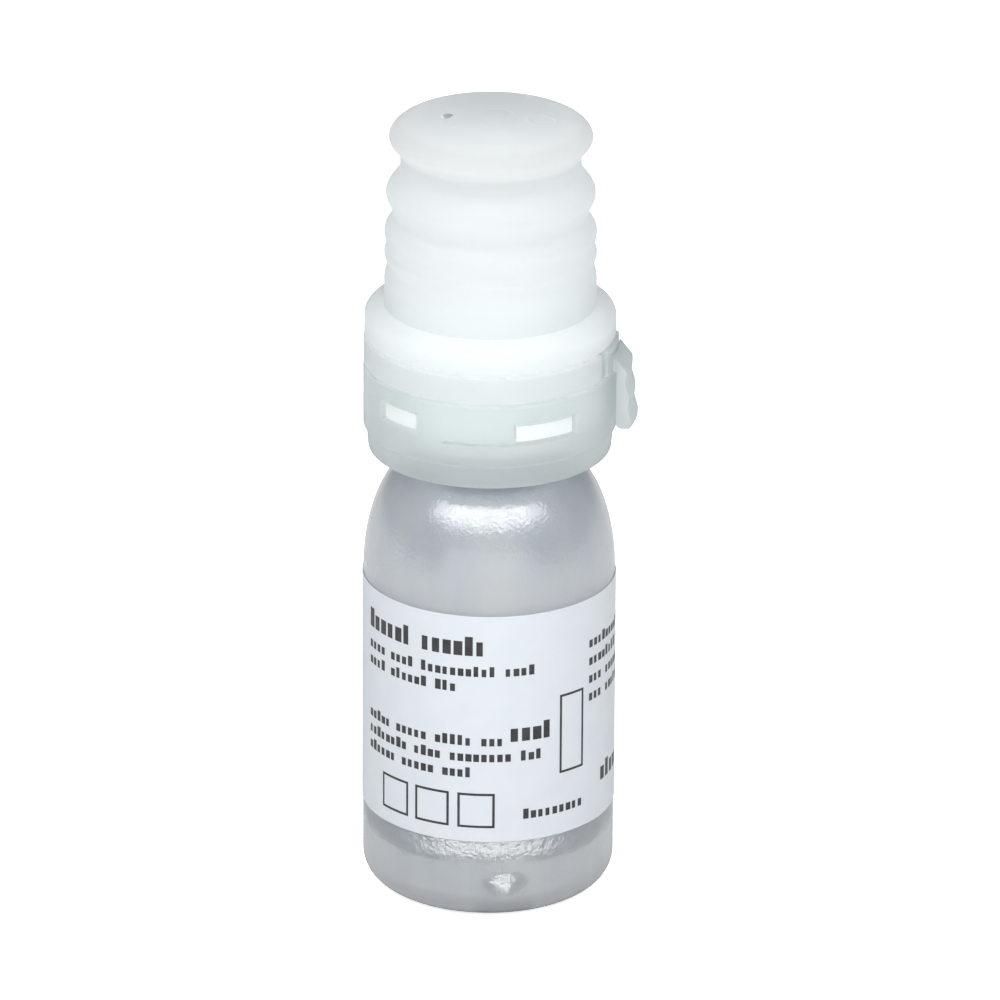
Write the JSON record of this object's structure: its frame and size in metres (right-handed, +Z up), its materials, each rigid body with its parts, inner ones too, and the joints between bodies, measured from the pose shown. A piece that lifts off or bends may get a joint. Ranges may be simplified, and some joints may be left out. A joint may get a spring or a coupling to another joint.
{
  "type": "eye drop bottle",
  "caption": "Small round squeeze bottle with a preservative-free dropper head, ribbed pull-off cap, tear band with pull tab, windowed collar and wrap label.",
  "frame": {"origin": "centre of the flat pad under the bottle's base, where the bottle's axis meets the surface it stands on", "axes": "+Z up along the bottle's axis, +X towards the pull tab"},
  "size_m": [0.0272, 0.0252, 0.0805],
  "materials": {
    "bottle_plastic": "milky translucent polyethylene, satin",
    "label_film": "satin film",
    "natural_plastic": "translucent natural plastic, satin",
    "collar_plastic": "translucent natural plastic, satin",
    "white_plastic": "satin",
    "seal_rubber": "matt",
    "filter_felt": "matt",
    "spring_steel": "bright"
  },
  "bodies": {
    "bottle_body": {"bottle": "bottle_plastic", "label": "label_film", "neck_gasket": "seal_rubber", "dispenser_body": "white_plastic", "collar": "collar_plastic", "vent_filter": "filter_felt", "filter_retainer": "white_plastic", "channel_insert": "white_plastic", "nozzle": "white_plastic", "valve_seal": "seal_rubber", "valve_spring": "spring_steel"},
    "tear_strip": {"tear_band": "natural_plastic"},
    "pull_tab": {"pull_tab": "natural_plastic"},
    "overcap": {"cap": "natural_plastic"},
    "valve": {"valve_pin": "white_plastic"}
  },
  "joints": [
    {"name": "band_release", "type": "slide", "parent": "bottle_body", "child": "tear_strip", "axis": [0, 0, 1], "range_m": [0, 0.025]},
    {"name": "cap_pull", "type": "slide", "parent": "tear_strip", "child": "overcap", "axis": [0, 0, 1], "range_m": [0, 0.025]},
    {"name": "tab_lift", "type": "hinge", "parent": "tear_strip", "child": "pull_tab", "pos_m": [0.0127, 0, 0.057], "axis": [0, -1, 0], "range_deg": [0, 100], "stiffness_Nm_per_rad": 0.001},
    {"name": "valve_open", "type": "slide", "parent": "bottle_body", "child": "valve", "axis": [0, 0, -1], "range_m": [0, 0.0005], "stiffness_N_per_m": 800, "springref_m": -0.0005, "deforming": ["valve_spring"]}
  ]
}
